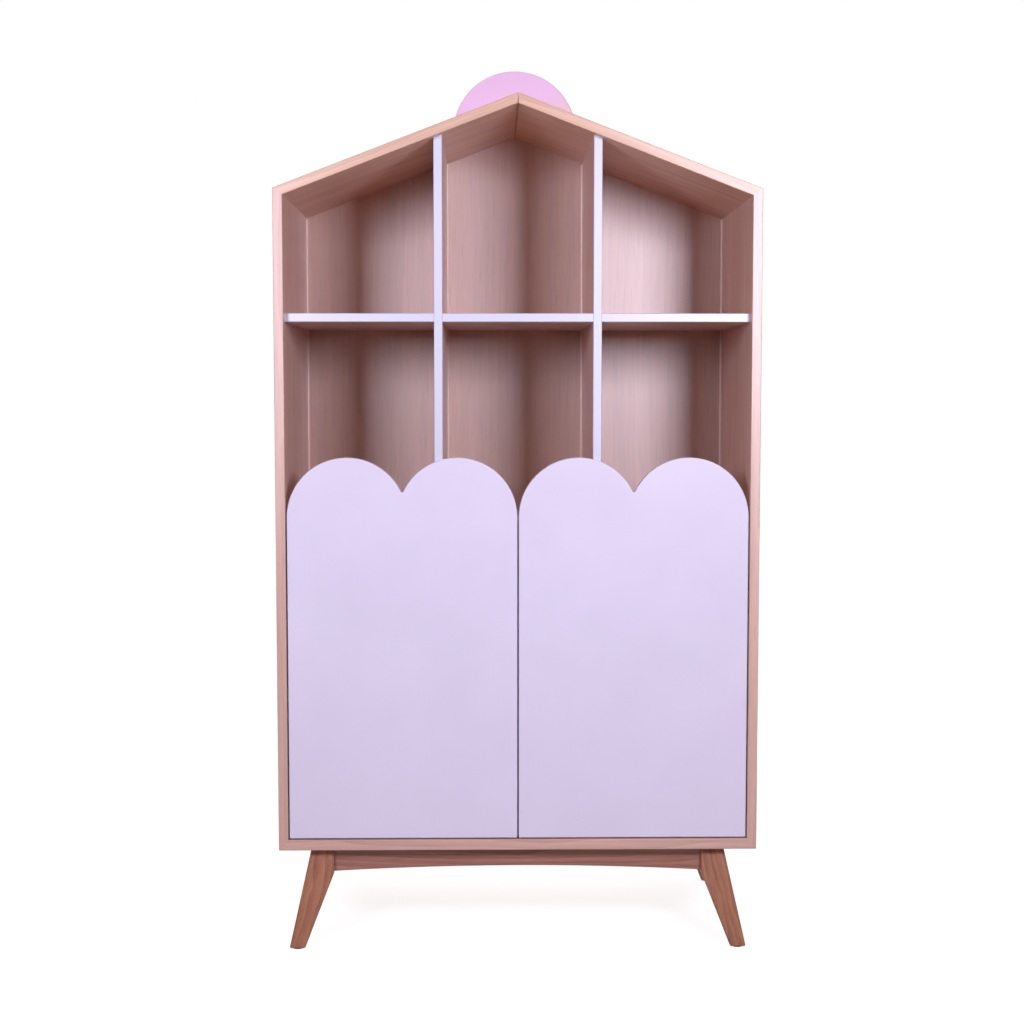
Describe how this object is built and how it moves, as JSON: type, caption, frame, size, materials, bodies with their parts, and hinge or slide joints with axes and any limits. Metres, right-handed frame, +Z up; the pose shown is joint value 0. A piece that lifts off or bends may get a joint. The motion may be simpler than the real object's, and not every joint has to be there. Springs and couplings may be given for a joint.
{
  "type": "house-shaped children's cabinet",
  "caption": "Tall house-shaped bookcase cabinet with open bays under a gable, scalloped doors below, a half disc behind the ridge and splayed legs.",
  "frame": {"origin": "on the floor under the middle of the case", "axes": "+Z up, the front faces -Y, +X to the right as seen from the front"},
  "size_m": [0.9, 0.4474, 1.712],
  "materials": {
    "door_paint": "satin lilac paint on board",
    "disc_paint": "satin pink paint on board",
    "inner_paint": "oak veneer with a clear satin finish, front edges painted off-white",
    "back_veneer": "satin lacquered oak veneer, upright grain",
    "case_wood": "satin lacquered oak veneer",
    "base_wood": "satin lacquered solid wood",
    "plain_wood": "sawn beech, bare",
    "plastic": "moulded white plastic",
    "steel": "nickel-plated steel"
  },
  "bodies": {
    "cabinet": {"back_panel": "back_veneer", "back_screws": "steel", "base_screws": "steel", "bolt_washers": "steel", "bottom_board": "case_wood", "catch_screws": "steel", "corner_blocks": "plain_wood", "disc_screws": "steel", "foot_glides": "plastic", "front_apron": "base_wood", "front_left_leg": "base_wood", "front_right_leg": "base_wood", "hinge_arm_screws": "steel", "hinge_plate_screws": "steel", "joint_dowels": "plain_wood", "left_apron": "base_wood", "left_divider": "inner_paint", "left_lower_hinge_arm": "steel", "left_lower_hinge_plate": "steel", "left_magnet_catch": "plastic", "left_roof": "case_wood", "left_side": "case_wood", "left_upper_hinge_arm": "steel", "left_upper_hinge_plate": "steel", "leg_bolts": "steel", "lower_partition": "case_wood", "lower_shelf_left": "case_wood", "lower_shelf_right": "case_wood", "mid_shelf": "case_wood", "rear_apron": "base_wood", "rear_left_leg": "base_wood", "rear_right_leg": "base_wood", "right_apron": "base_wood", "right_divider": "inner_paint", "right_lower_hinge_arm": "steel", "right_lower_hinge_plate": "steel", "right_magnet_catch": "plastic", "right_roof": "case_wood", "right_side": "case_wood", "right_upper_hinge_arm": "steel", "right_upper_hinge_plate": "steel", "shelf_pins": "steel", "sun_disc": "disc_paint", "upper_shelf_left": "inner_paint", "upper_shelf_middle": "inner_paint", "upper_shelf_right": "inner_paint"},
    "left_door_leaf": {"left_cup_screws": "steel", "left_door": "door_paint", "left_hinge_pins": "steel", "left_lower_hinge_cup": "steel", "left_strike_plate": "steel", "left_strike_screw": "steel", "left_upper_hinge_cup": "steel"},
    "right_door_leaf": {"right_cup_screws": "steel", "right_door": "door_paint", "right_hinge_pins": "steel", "right_lower_hinge_cup": "steel", "right_strike_plate": "steel", "right_strike_screw": "steel", "right_upper_hinge_cup": "steel"}
  },
  "joints": [
    {"name": "left_door_hinge", "type": "hinge", "parent": "cabinet", "child": "left_door_leaf", "pos_m": [-0.4145, -0.2002, 0.5], "axis": [0, 0, -1], "range_deg": [0, 95]},
    {"name": "right_door_hinge", "type": "hinge", "parent": "cabinet", "child": "right_door_leaf", "pos_m": [0.4145, -0.2002, 0.5], "axis": [0, 0, 1], "range_deg": [0, 95]}
  ]
}
